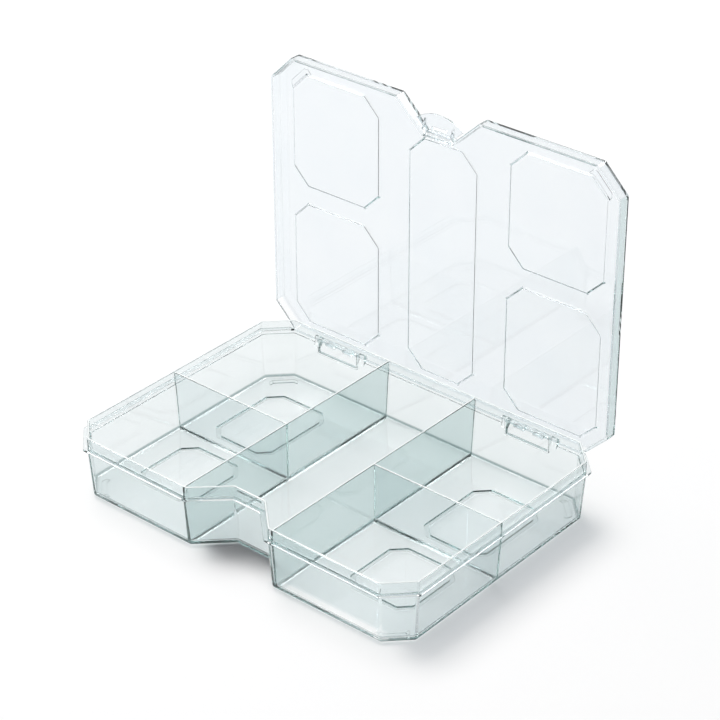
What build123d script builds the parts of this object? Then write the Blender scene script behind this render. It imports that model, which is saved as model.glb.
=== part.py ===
from build123d import *
from math import sqrt, hypot
import os

# Compartment storage box, clear moulded plastic, shown open.
# Frame: origin on the resting plane, under the middle of the open box,
# +X to the right along the hinge line, -Y to the front where the latch notch
# is, +Z up. All sizes in millimetres.
#
# The lid is drawn shut and stood open by its sketch planes: a point (x, y, z)
# of the shut lid is at (x, LID_Y + z, LID_Z - y) with the lid open.

# ---------------------------------------------------------------- dimensions
MID_Y = -2.4          # middle of the tray, the raised lid stands behind it
HALF_W = 100.0        # half width of the rim, outside face
HALF_D = 72.5         # half depth of the rim, outside face
CHAMFER = 12.0        # leg of the corner chamfers, plan view
NOTCH_OUT = 24.6      # half width of the front notch at the front face
NOTCH_IN = 9.0        # half width of the front notch at its back wall
NOTCH_D = 14.8        # depth of the front notch
CORNER_R = 1.6        # small rounding of the plan's corners

Z_UNDER = 0.5         # underside of the floor, above the feet's soles
Z_FLOOR = 1.9         # top of the floor
Z_STEP = 26.0         # inside step, the wall below it is thicker
Z_FLANGE_0 = 26.9     # underside of the outward flange
Z_FLANGE_1 = 28.0     # top of the flange, which the shut lid sits on
Z_RIM = 33.2          # top of the rim
Z_DIVIDER = 32.9      # top of the dividers

T_BAND = 1.1          # wall of the rim band
T_WALL = 1.5          # wall below the step
DRAFT = 0.065         # inward lean of the wall, mm per mm of height
FLANGE_OUT = 2.1      # how far the flange stands out
BOTTOM_CHAMFER = 1.5  # broken bottom edge

DIVIDER_T = 1.2
DIVIDER_X = 26.6      # long dividers, left and right of the middle
CROSS_Y = MID_Y - 2.7  # cross dividers

PAD_D = 0.9           # eight-sided groove in the floor of a corner compartment
PAD_W = 2.1
PAD_X0, PAD_X1 = 46.8, 84.0
PAD_FRONT = (MID_Y - 49.2, MID_Y - 9.7)
PAD_REAR = (MID_Y + 3.0, MID_Y + 52.0)
PAD_CUT = 6.4
PAD_R = 1.6

FOOT_X = 88.0         # middle of each stacking foot
FOOT_DY = 62.8        # and its distance from the tray's middle
DIMPLE_R = 0.55
DIMPLE_D = 0.3

HINGE_Y = MID_Y + 72.7  # hinge axis
HINGE_Z = 27.6
HINGE_X = 58.6        # middle of each hinge
PIN_R = 0.90
PIN_HALF = 12.3       # half of the pin's free length between its lugs
PIN_IN_LUG = 2.4
LUG_W = 3.8
HOOK_IN_R = 0.96
HOOK_OUT_R = 1.85
HOOK_W = 5.2
HOOK_DX = 5.5         # hooks either side of the hinge's middle
WINDOW_Z = 21.4       # lower edge of the pocket behind each pin
POCKET_Y = 70.6       # inner end of the pocket
POCKET_T = 0.7        # thickness of the plastic around it
FLOOR_SPLIT = 3.6     # the floor plate ends this far inside the rim's outside face
RELIEF_Z = 29.6       # the lid's skirt is cut back to here over each hinge

LID_OUT = 1.65        # lid skirt's outside face, beyond the rim
LID_IN = 0.45         # lid skirt's inside face, beyond the rim
LID_Z0 = 28.1         # skirt's free edge, with the lid shut
LID_Z1 = 33.3         # underside of the plate
LID_Z2 = 34.3         # top of the plate
LID_EDGE = 0.7        # broken edge around the plate
PANEL_SINK = 0.9      # the five panels are sunk this far
PANEL_CUT = 9.0
PANELS = [(-92.5, -37.8, MID_Y - 65.9, MID_Y - 5.9),
          (-92.5, -37.8, MID_Y + 2.6, MID_Y + 70.0),
          (-20.5, 20.5, MID_Y - 55.2, MID_Y + 69.8),
          (37.8, 92.5, MID_Y - 65.9, MID_Y - 5.9),
          (37.8, 92.5, MID_Y + 2.6, MID_Y + 70.0)]
SOCKET_D = 0.55       # hollow in the lid that takes a foot of the box above

# latch, all measured with the lid shut
TONGUE_X = 7.6
TONGUE_Y0, TONGUE_Y1 = MID_Y - 59.35, MID_Y - 58.25
TONGUE_Z0, TONGUE_Z1 = 28.5, 33.1
BEAD = 0.35
SHELF_Z0, SHELF_Z1 = 29.8, 30.9
BAR_R = 1.3
BAR_Y, BAR_Z = MID_Y - 60.5, 30.35
RIB_X = 8.2
CATCH = 0.4

LID_Y = HINGE_Y - HINGE_Z
LID_Z = HINGE_Y + HINGE_Z
SHUT = Plane(origin=(0, LID_Y, LID_Z), x_dir=(1, 0, 0), z_dir=(0, 1, 0))


# ------------------------------------------------------------------- outlines
def outline(d):
    """Corners of the plan, moved outward by d (inward if negative)."""
    a, b = HALF_W + d, HALF_D + d
    c = (a + b) - (HALF_W + HALF_D - CHAMFER + d * sqrt(2))
    dx, dy = NOTCH_OUT - NOTCH_IN, NOTCH_D
    length = hypot(dx, dy)
    nx, ny = -dy / length, -dx / length     # right notch wall, away from the plastic
    ux, uy = -dx / length, dy / length
    px, py = NOTCH_OUT + nx * d, -HALF_D + ny * d
    s1 = (-HALF_D - d - py) / uy
    s2 = (-HALF_D + NOTCH_D - d - py) / uy
    n1, n2 = px + ux * s1, px + ux * s2
    yb = -HALF_D + NOTCH_D - d
    pts = [(-a, -b + c), (-a + c, -b), (-n1, -b), (-n2, yb), (n2, yb), (n1, -b),
           (a - c, -b), (a, -b + c), (a, b - c), (a - c, b), (-a + c, b), (-a, b - c)]
    return [(x, MID_Y + y) for x, y in pts]


def closed_shape(points, r=0.0):
    """A flat face with these corners, rounded by r."""
    with BuildSketch() as s:
        with BuildLine():
            Polyline(*points, close=True)
        make_face()
        if r > 0:
            fillet(s.vertices(), r)
    return s.sketch


def octagon(x0, x1, y0, y1, c, r=0.0):
    """Rectangle with cut corners."""
    return closed_shape([(x0 + c, y0), (x1 - c, y0), (x1, y0 + c), (x1, y1 - c),
                         (x1 - c, y1), (x0 + c, y1), (x0, y1 - c), (x0, y0 + c)], r)


def lean(z):
    """How far the outside wall has leaned inward at height z."""
    return DRAFT * max(0.0, Z_STEP - z)


def across(x):
    """Plane across the box at x, with local (y, z)."""
    return Plane(origin=(x, 0, 0), x_dir=(0, 1, 0), z_dir=(1, 0, 0))


def across_lid(x):
    """Plane across the lid at x, with local (y, z) as on the shut lid."""
    return Plane(origin=(x, LID_Y, LID_Z), x_dir=(0, 0, -1), z_dir=(1, 0, 0))


def corner_plane(sx, sy, z):
    """Level plane at a corner, local y pointing out across its chamfer."""
    return Plane(origin=(sx * FOOT_X, MID_Y + sy * FOOT_DY, z), x_dir=(sy, -sx, 0), z_dir=(0, 0, 1))


def lid_corner_plane(sx, sy, z):
    """The same on the lid, z as on the shut lid and local z out of its top."""
    o = SHUT.from_local_coords(Vector(sx * FOOT_X, MID_Y + sy * FOOT_DY, z))
    e = SHUT.from_local_coords(Vector(sx * FOOT_X + sy, MID_Y + sy * FOOT_DY - sx, z))
    return Plane(origin=o, x_dir=e - o, z_dir=(0, 1, 0))


under_out = closed_shape(outline(-lean(Z_UNDER)), CORNER_R)
step_out = closed_shape(outline(0.0), CORNER_R)
floor_in = closed_shape(outline(-T_WALL - lean(Z_FLOOR)), CORNER_R)
floor_plate = closed_shape(outline(-FLOOR_SPLIT), CORNER_R)
step_in = closed_shape(outline(-T_WALL), CORNER_R)
band_in = closed_shape(outline(-T_BAND), CORNER_R)
flange_out = closed_shape(outline(FLANGE_OUT), CORNER_R)
lid_out = closed_shape(outline(LID_OUT), CORNER_R)
lid_in = closed_shape(outline(LID_IN), CORNER_R)

pads = []
for sx in (-1, 1):
    for y0, y1 in (PAD_FRONT, PAD_REAR):
        x0, x1 = sorted((sx * PAD_X0, sx * PAD_X1))
        pads.append((octagon(x0, x1, y0, y1, PAD_CUT, PAD_R),
                     octagon(x0 + PAD_W, x1 - PAD_W, y0 + PAD_W, y1 - PAD_W, PAD_CUT - 0.55 * PAD_W, PAD_R)))

panel_shapes = []
for x0, x1, y0, y1 in PANELS:
    panel_shapes.append([octagon(x0, x1, y0, y1, PANEL_CUT),
                         octagon(x0 + 0.5, x1 - 0.5, y0 + 0.5, y1 - 0.5, PANEL_CUT - 0.2),
                         octagon(x0 + 0.6, x1 - 0.6, y0 + 0.6, y1 - 0.6, PANEL_CUT - 0.2),
                         octagon(x0 + 1.1, x1 - 1.1, y0 + 1.1, y1 - 1.1, PANEL_CUT - 0.4)])

# bracket-shaped foot: a bar along the chamfer whose ends turn along the walls
foot_shape = closed_shape([(-7.1, -3.15), (-5.1, -1.2), (5.1, -1.2), (7.1, -3.15),
                           (7.1, -0.2), (5.7, 1.25), (-5.7, 1.25), (-7.1, -0.2)])
socket_shape = closed_shape([(-7.4, -3.75), (-5.0, -1.45), (5.0, -1.45), (7.4, -3.75),
                             (7.4, -0.1), (5.8, 1.5), (-5.8, 1.5), (-7.4, -0.1)])

lug_shape = closed_shape([(MID_Y + 71.0, 22.0), (MID_Y + 72.6, 23.4), (MID_Y + 74.55, 25.7),
                          (MID_Y + 74.55, 28.3), (MID_Y + 74.0, 28.9), (MID_Y + 71.0, 28.9)])

# a hook hangs from the rear skirt and wraps the pin, its mouth to the front
with BuildSketch() as hook_sketch:
    with Locations((HINGE_Y, HINGE_Z)):
        Circle(HOOK_OUT_R)
    with Locations((HINGE_Y + 0.8, (HINGE_Z + RELIEF_Z) / 2)):
        Rectangle(1.2, RELIEF_Z - HINGE_Z)
    with Locations((HINGE_Y, HINGE_Z)):
        Circle(HOOK_IN_R, mode=Mode.SUBTRACT)
    with Locations(Location((HINGE_Y - 1.6, HINGE_Z - 1.1), 35)):
        Rectangle(2.6, 1.3, mode=Mode.SUBTRACT)
hook_shape = hook_sketch.sketch

# ------------------------------------------------------- inside of the tray
# The space inside the tray as a solid: it hollows the tray, and ends each
# divider exactly on the walls.
with BuildPart() as cavity:
    with BuildSketch(Plane.XY.offset(Z_FLOOR)):
        add(floor_in)
    with BuildSketch(Plane.XY.offset(Z_STEP)):
        add(step_in)
    loft(ruled=True)
    with BuildSketch(Plane.XY.offset(Z_STEP)):
        add(band_in)
    extrude(amount=Z_RIM + 2 - Z_STEP)

# flange all round except along the straight rear wall, where the lid's skirt
# swings down behind the tray
with BuildPart() as flange:
    with BuildSketch(Plane.XY.offset(Z_FLANGE_0)):
        add(flange_out)
    extrude(amount=Z_FLANGE_1 - Z_FLANGE_0)
    with Locations((0, MID_Y + HALF_D + 5.0, Z_FLANGE_0)):
        Box(2 * HALF_W + 20, 10, 20, mode=Mode.SUBTRACT)

# ---------------------------------------------------------------- tray shell
with BuildPart() as tray_shell:
    with BuildSketch(Plane.XY.offset(Z_UNDER)):
        add(under_out)
    with BuildSketch(Plane.XY.offset(Z_STEP)):
        add(step_out)
    loft(ruled=True)
    chamfer(tray_shell.faces().sort_by(Axis.Z)[0].edges(), BOTTOM_CHAMFER)
    with BuildSketch(Plane.XY.offset(Z_STEP)):
        add(step_out)
    extrude(amount=Z_RIM - Z_STEP)
    add(flange.part)
    add(cavity.part, mode=Mode.SUBTRACT)
    with BuildSketch(Plane.XY.offset(Z_UNDER - 0.5)):
        add(floor_plate)
    extrude(amount=Z_FLOOR + 1.0, mode=Mode.SUBTRACT)
    # pockets in the back of the rear wall that the hooks turn in, and the pins' seats
    for sx in (-1, 1):
        with Locations((sx * HINGE_X, MID_Y + (POCKET_Y - POCKET_T + 71.6) / 2, (WINDOW_Z + RELIEF_Z) / 2)):
            Box(2 * (PIN_HALF + POCKET_T), 71.6 - POCKET_Y + POCKET_T, RELIEF_Z - WINDOW_Z + 2 * POCKET_T)
        with Locations((sx * HINGE_X, MID_Y + POCKET_Y + 3.0, (WINDOW_Z + RELIEF_Z) / 2)):
            Box(2 * PIN_HALF, 6.0, RELIEF_Z - WINDOW_Z, mode=Mode.SUBTRACT)
        with Locations(Location((sx * HINGE_X, HINGE_Y, HINGE_Z), (0, 90, 0))):
            Cylinder(PIN_R, 2 * (PIN_HALF + PIN_IN_LUG), mode=Mode.SUBTRACT)
tray_shell.part.label = "tray_shell"

# --------------------------------------------- floor plate with its grooves
with BuildPart() as tray_floor:
    with BuildSketch(Plane.XY.offset(Z_UNDER)):
        add(floor_plate)
    extrude(amount=Z_FLOOR - Z_UNDER)
    for rim, island in pads:
        with BuildSketch(Plane.XY.offset(Z_FLOOR - PAD_D)):
            add(rim)
            add(island, mode=Mode.SUBTRACT)
        extrude(amount=PAD_D + 0.5, mode=Mode.SUBTRACT)
tray_floor.part.label = "tray_floor"

# ------------------------------------------------------------- stacking feet
with BuildPart() as foot_front_left:
    with BuildSketch(corner_plane(-1, -1, 0)):
        add(foot_shape)
    extrude(amount=Z_UNDER)
    with BuildSketch(corner_plane(-1, -1, 0)):
        with Locations((-5.4, -0.3)):
            Circle(DIMPLE_R)
    extrude(amount=DIMPLE_D, mode=Mode.SUBTRACT)
foot_front_left.part.label = "foot_front_left"

with BuildPart() as foot_front_right:
    with BuildSketch(corner_plane(1, -1, 0)):
        add(foot_shape)
    extrude(amount=Z_UNDER)
    with BuildSketch(corner_plane(1, -1, 0)):
        with Locations((-5.4, -0.3)):
            Circle(DIMPLE_R)
    extrude(amount=DIMPLE_D, mode=Mode.SUBTRACT)
foot_front_right.part.label = "foot_front_right"

with BuildPart() as foot_rear_left:
    with BuildSketch(corner_plane(-1, 1, 0)):
        add(foot_shape)
    extrude(amount=Z_UNDER)
    with BuildSketch(corner_plane(-1, 1, 0)):
        with Locations((-5.4, -0.3)):
            Circle(DIMPLE_R)
    extrude(amount=DIMPLE_D, mode=Mode.SUBTRACT)
foot_rear_left.part.label = "foot_rear_left"

with BuildPart() as foot_rear_right:
    with BuildSketch(corner_plane(1, 1, 0)):
        add(foot_shape)
    extrude(amount=Z_UNDER)
    with BuildSketch(corner_plane(1, 1, 0)):
        with Locations((-5.4, -0.3)):
            Circle(DIMPLE_R)
    extrude(amount=DIMPLE_D, mode=Mode.SUBTRACT)
foot_rear_right.part.label = "foot_rear_right"

# ------------------------------------------------------------ fixed dividers
with BuildPart() as long_divider_left:
    with Locations((-DIVIDER_X, MID_Y, (Z_FLOOR + Z_DIVIDER) / 2)):
        Box(DIVIDER_T, 2 * HALF_D, Z_DIVIDER - Z_FLOOR)
    add(cavity.part, mode=Mode.INTERSECT)
long_divider_left.part.label = "long_divider_left"

with BuildPart() as long_divider_right:
    with Locations((DIVIDER_X, MID_Y, (Z_FLOOR + Z_DIVIDER) / 2)):
        Box(DIVIDER_T, 2 * HALF_D, Z_DIVIDER - Z_FLOOR)
    add(cavity.part, mode=Mode.INTERSECT)
long_divider_right.part.label = "long_divider_right"

CROSS_X0 = DIVIDER_X + DIVIDER_T / 2
with BuildPart() as cross_divider_left:
    with Locations((-(CROSS_X0 + HALF_W) / 2, CROSS_Y, (Z_FLOOR + Z_DIVIDER) / 2)):
        Box(HALF_W - CROSS_X0, DIVIDER_T, Z_DIVIDER - Z_FLOOR)
    add(cavity.part, mode=Mode.INTERSECT)
cross_divider_left.part.label = "cross_divider_left"

with BuildPart() as cross_divider_right:
    with Locations(((CROSS_X0 + HALF_W) / 2, CROSS_Y, (Z_FLOOR + Z_DIVIDER) / 2)):
        Box(HALF_W - CROSS_X0, DIVIDER_T, Z_DIVIDER - Z_FLOOR)
    add(cavity.part, mode=Mode.INTERSECT)
cross_divider_right.part.label = "cross_divider_right"

# ------------------------------------------------------- hinge pins and lugs
with BuildPart() as hinge_pin_left:
    with Locations(Location((-HINGE_X, HINGE_Y, HINGE_Z), (0, 90, 0))):
        Cylinder(PIN_R, 2 * (PIN_HALF + PIN_IN_LUG))
hinge_pin_left.part.label = "hinge_pin_left"

with BuildPart() as hinge_pin_right:
    with Locations(Location((HINGE_X, HINGE_Y, HINGE_Z), (0, 90, 0))):
        Cylinder(PIN_R, 2 * (PIN_HALF + PIN_IN_LUG))
hinge_pin_right.part.label = "hinge_pin_right"

with BuildPart() as hinge_lugs_left:
    with BuildSketch(across(-HINGE_X - PIN_HALF - LUG_W)):
        add(lug_shape)
    extrude(amount=LUG_W)
    with BuildSketch(across(-HINGE_X + PIN_HALF)):
        add(lug_shape)
    extrude(amount=LUG_W)
    add(tray_shell.part, mode=Mode.SUBTRACT)
    add(cavity.part, mode=Mode.SUBTRACT)
    add(hinge_pin_left.part, mode=Mode.SUBTRACT)
hinge_lugs_left.part.label = "hinge_lugs_left"

with BuildPart() as hinge_lugs_right:
    with BuildSketch(across(HINGE_X - PIN_HALF - LUG_W)):
        add(lug_shape)
    extrude(amount=LUG_W)
    with BuildSketch(across(HINGE_X + PIN_HALF)):
        add(lug_shape)
    extrude(amount=LUG_W)
    add(tray_shell.part, mode=Mode.SUBTRACT)
    add(cavity.part, mode=Mode.SUBTRACT)
    add(hinge_pin_right.part, mode=Mode.SUBTRACT)
hinge_lugs_right.part.label = "hinge_lugs_right"

# ------------------------------------------------ catch ridge on the notch wall
NOTCH_Y = MID_Y - HALF_D + NOTCH_D
with BuildPart() as latch_catch:
    with BuildSketch(across(-7.4)):
        with BuildLine():
            Polyline((NOTCH_Y, 30.8), (NOTCH_Y - CATCH, 31.1), (NOTCH_Y - CATCH, 31.5),
                     (NOTCH_Y, 32.2), close=True)
        make_face()
    extrude(amount=14.8)
latch_catch.part.label = "latch_catch"

# ----------------------------------------------------------------------- lid
with BuildPart() as lid_shell:
    with BuildSketch(SHUT.offset(LID_Z0)):
        add(lid_out)
    extrude(amount=LID_Z2 - LID_Z0)
    chamfer(lid_shell.faces().sort_by(Axis.Y)[-1].edges(), LID_EDGE)
    with BuildSketch(SHUT.offset(LID_Z0)):
        add(lid_in)
    extrude(amount=LID_Z1 - LID_Z0, mode=Mode.SUBTRACT)
    # five sunk panels, each with a narrow sloping border
    for wide, low, mouth, bed in panel_shapes:
        with BuildSketch(SHUT.offset(LID_Z1)):
            add(wide)
        with BuildSketch(SHUT.offset(LID_Z1 - PANEL_SINK)):
            add(low)
        loft(ruled=True)
    for wide, low, mouth, bed in panel_shapes:
        with BuildSketch(SHUT.offset(LID_Z2)):
            add(mouth)
        with BuildSketch(SHUT.offset(LID_Z2 - PANEL_SINK)):
            add(bed)
        loft(ruled=True, mode=Mode.SUBTRACT)
    # skirt cut back over each hinge, clear of the lugs and the pin
    for sx in (-1, 1):
        with BuildSketch(SHUT.offset(LID_Z0 - 0.5)):
            with Locations((sx * HINGE_X, MID_Y + HALF_D + 1.0)):
                Rectangle(2 * (PIN_HALF + LUG_W + 0.6), 6.0)
        extrude(amount=RELIEF_Z - LID_Z0 + 0.5, mode=Mode.SUBTRACT)
    # skirt left out at the back of the notch, where the latch tongue hangs
    with BuildSketch(SHUT.offset(LID_Z0 - 0.5)):
        with Locations((0, (TONGUE_Y0 + TONGUE_Y1) / 2)):
            Rectangle(2 * (TONGUE_X + 0.35), 2.2)
    extrude(amount=LID_Z1 - LID_Z0 + 0.5, mode=Mode.SUBTRACT)
    # hollows at the front corners for the front feet of a box stacked above;
    # its rear feet stand in the sunk rear panels
    for sx in (-1, 1):
        with BuildSketch(lid_corner_plane(sx, -1, LID_Z2 - SOCKET_D)):
            add(socket_shape)
        extrude(amount=SOCKET_D + 0.5, mode=Mode.SUBTRACT)
lid_shell.part.label = "lid_shell"

# --------------------------------------------------------------- lid's hooks
with BuildPart() as hook_left_outer:
    with BuildSketch(across_lid(-HINGE_X - HOOK_DX - HOOK_W / 2)):
        add(hook_shape)
    extrude(amount=HOOK_W)
hook_left_outer.part.label = "hook_left_outer"

with BuildPart() as hook_left_inner:
    with BuildSketch(across_lid(-HINGE_X + HOOK_DX - HOOK_W / 2)):
        add(hook_shape)
    extrude(amount=HOOK_W)
hook_left_inner.part.label = "hook_left_inner"

with BuildPart() as hook_right_inner:
    with BuildSketch(across_lid(HINGE_X - HOOK_DX - HOOK_W / 2)):
        add(hook_shape)
    extrude(amount=HOOK_W)
hook_right_inner.part.label = "hook_right_inner"

with BuildPart() as hook_right_outer:
    with BuildSketch(across_lid(HINGE_X + HOOK_DX - HOOK_W / 2)):
        add(hook_shape)
    extrude(amount=HOOK_W)
hook_right_outer.part.label = "hook_right_outer"

# --------------------------------------------------------------------- latch
# tongue hanging from the plate at the back of the notch, with a bead on its
# inside that snaps under the catch ridge
with BuildPart() as latch_tongue:
    with BuildSketch(SHUT.offset(TONGUE_Z0)):
        with Locations((0, (TONGUE_Y0 + TONGUE_Y1) / 2)):
            Rectangle(2 * TONGUE_X, TONGUE_Y1 - TONGUE_Y0)
    extrude(amount=TONGUE_Z1 - TONGUE_Z0)
    with BuildSketch(across_lid(-7.0)):
        with BuildLine():
            Polyline((TONGUE_Y1, 29.2), (TONGUE_Y1 + BEAD, 29.6), (TONGUE_Y1 + BEAD, 30.0),
                     (TONGUE_Y1, 30.5), close=True)
        make_face()
    extrude(amount=14.0)
latch_tongue.part.label = "latch_tongue"

# finger shelf with a bowed front edge and a slot by the bar
with BuildPart() as latch_shelf:
    with BuildSketch(SHUT.offset(SHELF_Z0)):
        with BuildLine():
            Polyline((-TONGUE_X, TONGUE_Y0), (-8.1, MID_Y - 60.6), (-13.6, MID_Y - 65.6))
            ThreePointArc((-13.6, MID_Y - 65.6), (0, MID_Y - 70.4), (13.6, MID_Y - 65.6))
            Polyline((13.6, MID_Y - 65.6), (8.1, MID_Y - 60.6), (TONGUE_X, TONGUE_Y0))
            Line((TONGUE_X, TONGUE_Y0), (-TONGUE_X, TONGUE_Y0))
        make_face()
        with Locations((0, MID_Y - 62.9)):
            Rectangle(9.2, 1.8, mode=Mode.SUBTRACT)
    extrude(amount=SHELF_Z1 - SHELF_Z0)
latch_shelf.part.label = "latch_shelf"

with BuildPart() as latch_rib_left:
    with BuildSketch(across_lid(-RIB_X - 0.5)):
        with BuildLine():
            Polyline((MID_Y - 61.9, SHELF_Z0), (MID_Y - 67.0, SHELF_Z0),
                     (MID_Y - 61.9, SHELF_Z0 - 2.2), close=True)
        make_face()
    extrude(amount=1.0)
latch_rib_left.part.label = "latch_rib_left"

with BuildPart() as latch_rib_right:
    with BuildSketch(across_lid(RIB_X - 0.5)):
        with BuildLine():
            Polyline((MID_Y - 61.9, SHELF_Z0), (MID_Y - 67.0, SHELF_Z0),
                     (MID_Y - 61.9, SHELF_Z0 - 2.2), close=True)
        make_face()
    extrude(amount=1.0)
latch_rib_right.part.label = "latch_rib_right"

with BuildPart() as latch_bar:
    with BuildSketch(across_lid(-8.1)):
        with Locations((BAR_Y, BAR_Z)):
            Circle(BAR_R)
    extrude(amount=16.2)
    fillet(latch_bar.edges().filter_by(GeomType.CIRCLE), 0.9)
    add(latch_tongue.part, mode=Mode.SUBTRACT)
    add(latch_shelf.part, mode=Mode.SUBTRACT)
latch_bar.part.label = "latch_bar"

# -------------------------------------------------------------------- export
os.makedirs("parts", exist_ok=True)
export_step(tray_shell.part, "parts/tray_shell.step")
export_step(tray_floor.part, "parts/tray_floor.step")
export_step(foot_front_left.part, "parts/foot_front_left.step")
export_step(foot_front_right.part, "parts/foot_front_right.step")
export_step(foot_rear_left.part, "parts/foot_rear_left.step")
export_step(foot_rear_right.part, "parts/foot_rear_right.step")
export_step(long_divider_left.part, "parts/long_divider_left.step")
export_step(long_divider_right.part, "parts/long_divider_right.step")
export_step(cross_divider_left.part, "parts/cross_divider_left.step")
export_step(cross_divider_right.part, "parts/cross_divider_right.step")
export_step(hinge_pin_left.part, "parts/hinge_pin_left.step")
export_step(hinge_pin_right.part, "parts/hinge_pin_right.step")
export_step(hinge_lugs_left.part, "parts/hinge_lugs_left.step")
export_step(hinge_lugs_right.part, "parts/hinge_lugs_right.step")
export_step(latch_catch.part, "parts/latch_catch.step")
export_step(lid_shell.part, "parts/lid_shell.step")
export_step(hook_left_outer.part, "parts/hook_left_outer.step")
export_step(hook_left_inner.part, "parts/hook_left_inner.step")
export_step(hook_right_inner.part, "parts/hook_right_inner.step")
export_step(hook_right_outer.part, "parts/hook_right_outer.step")
export_step(latch_tongue.part, "parts/latch_tongue.step")
export_step(latch_shelf.part, "parts/latch_shelf.step")
export_step(latch_rib_left.part, "parts/latch_rib_left.step")
export_step(latch_rib_right.part, "parts/latch_rib_right.step")
export_step(latch_bar.part, "parts/latch_bar.step")
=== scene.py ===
import math

import bmesh
import bpy
from mathutils import Matrix, Vector


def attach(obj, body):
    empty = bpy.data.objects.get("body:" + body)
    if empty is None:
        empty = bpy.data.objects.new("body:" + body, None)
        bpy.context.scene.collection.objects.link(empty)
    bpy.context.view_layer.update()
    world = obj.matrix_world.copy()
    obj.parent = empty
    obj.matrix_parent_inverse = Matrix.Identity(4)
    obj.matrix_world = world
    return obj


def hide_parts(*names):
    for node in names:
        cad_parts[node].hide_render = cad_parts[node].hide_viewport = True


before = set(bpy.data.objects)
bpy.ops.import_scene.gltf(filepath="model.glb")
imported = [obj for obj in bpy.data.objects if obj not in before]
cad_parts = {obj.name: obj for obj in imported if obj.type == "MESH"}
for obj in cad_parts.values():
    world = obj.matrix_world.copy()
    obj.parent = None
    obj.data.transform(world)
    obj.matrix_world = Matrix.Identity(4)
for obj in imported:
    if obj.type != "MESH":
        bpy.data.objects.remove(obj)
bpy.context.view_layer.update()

scene = bpy.context.scene
MM = 0.001

# ------------------------------------------------------------- dimensions, mm
# the same sizes as the CAD, in its frame
MID_Y = -2.4
HALF_W, HALF_D, CHAMFER = 100.0, 72.5, 12.0
NOTCH_OUT, NOTCH_IN, NOTCH_D = 24.6, 9.0, 14.8
CORNER_R = 1.6
Z_UNDER, Z_FLOOR, Z_STEP, Z_RIM, Z_DIVIDER = 0.5, 1.9, 26.0, 33.2, 32.9
FLANGE_Z0, FLANGE_Z1, FLANGE_OUT = 26.9, 28.0, 2.1
T_BAND, T_WALL, DRAFT = 1.1, 1.5, 0.065
DIVIDER_X, DIVIDER_T, CROSS_Y = 26.6, 1.2, MID_Y - 2.7
HINGE_X, HINGE_Y, HINGE_Z = 58.6, MID_Y + 72.7, 27.6
PIN_R, PIN_HALF, PIN_IN_LUG, LUG_W = 0.9, 12.3, 2.4, 3.8
WINDOW_Z, RELIEF_Z, POCKET_Y, POCKET_T = 21.4, 29.6, 70.6, 0.7
PAD_X0, PAD_X1, PAD_C, PAD_W, PAD_D = 46.8, 84.0, 6.4, 2.1, 0.9
LID_OUT, LID_IN, LID_Z0, LID_Z1, LID_Z2 = 1.65, 0.45, 28.1, 33.3, 34.3
LID_Y, LID_Z = HINGE_Y - HINGE_Z, HINGE_Y + HINGE_Z


def outline(d):
    """Corners of the plan, moved outward by d."""
    a, b = HALF_W + d, HALF_D + d
    c = (a + b) - (HALF_W + HALF_D - CHAMFER + d * math.sqrt(2))
    dx, dy = NOTCH_OUT - NOTCH_IN, NOTCH_D
    length = math.hypot(dx, dy)
    nx, ny = -dy / length, -dx / length
    ux, uy = -dx / length, dy / length
    px, py = NOTCH_OUT + nx * d, -HALF_D + ny * d
    s1 = (-HALF_D - d - py) / uy
    s2 = (-HALF_D + NOTCH_D - d - py) / uy
    n1, n2 = px + ux * s1, px + ux * s2
    yb = -HALF_D + NOTCH_D - d
    pts = [(-a, -b + c), (-a + c, -b), (-n1, -b), (-n2, yb), (n2, yb), (n1, -b),
           (a - c, -b), (a, -b + c), (a, b - c), (a - c, b), (-a + c, b), (-a, b - c)]
    return [(x, MID_Y + y) for x, y in pts]


def lean(z):
    return DRAFT * max(0.0, Z_STEP - z)


# ------------------------------------------------------------------ mesh tools
def open_frame(x, y, z):
    """Point of the tray."""
    return Vector((x, y, z)) * MM


def lid_frame(x, y, z):
    """Point of the lid, given as on the shut lid, stood up at its rest pose."""
    return Vector((x, LID_Y + z, LID_Z - y)) * MM


def rounded(points, r, seg=4):
    """The polygon with every corner rounded by r."""
    out = []
    n = len(points)
    for i in range(n):
        p = Vector(points[i])
        a, b = Vector(points[i - 1]) - p, Vector(points[(i + 1) % n]) - p
        la, lb = a.length, b.length
        a, b = a / la, b / lb
        half = math.acos(max(-1.0, min(1.0, a.dot(b)))) / 2
        t = min(r / math.tan(half), 0.45 * la, 0.45 * lb)
        c = p + (a + b).normalized() * (t / math.cos(half))
        vs, ve = p + a * t - c, p + b * t - c
        turn = math.atan2(vs.x * ve.y - vs.y * ve.x, vs.dot(ve))
        for k in range(seg + 1):
            w = turn * k / seg
            out.append((c.x + vs.x * math.cos(w) - vs.y * math.sin(w),
                        c.y + vs.x * math.sin(w) + vs.y * math.cos(w)))
    return out


def offset(points, d):
    """A counter-clockwise polygon moved outward by d."""
    out = []
    n = len(points)
    for i in range(n):
        p0, p1, p2 = Vector(points[i - 1]), Vector(points[i]), Vector(points[(i + 1) % n])
        e1, e2 = (p1 - p0).normalized(), (p2 - p1).normalized()
        n1, n2 = Vector((e1.y, -e1.x)), Vector((e2.y, -e2.x))
        q = p1 + (n1 + n2) * (d / (1 + n1.dot(n2)))
        out.append((q.x, q.y))
    return out


def arc(cx, cy, r, a0, a1, n):
    return [(cx + r * math.cos(math.radians(a0 + (a1 - a0) * k / n)),
             cy + r * math.sin(math.radians(a0 + (a1 - a0) * k / n))) for k in range(n + 1)]


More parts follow.
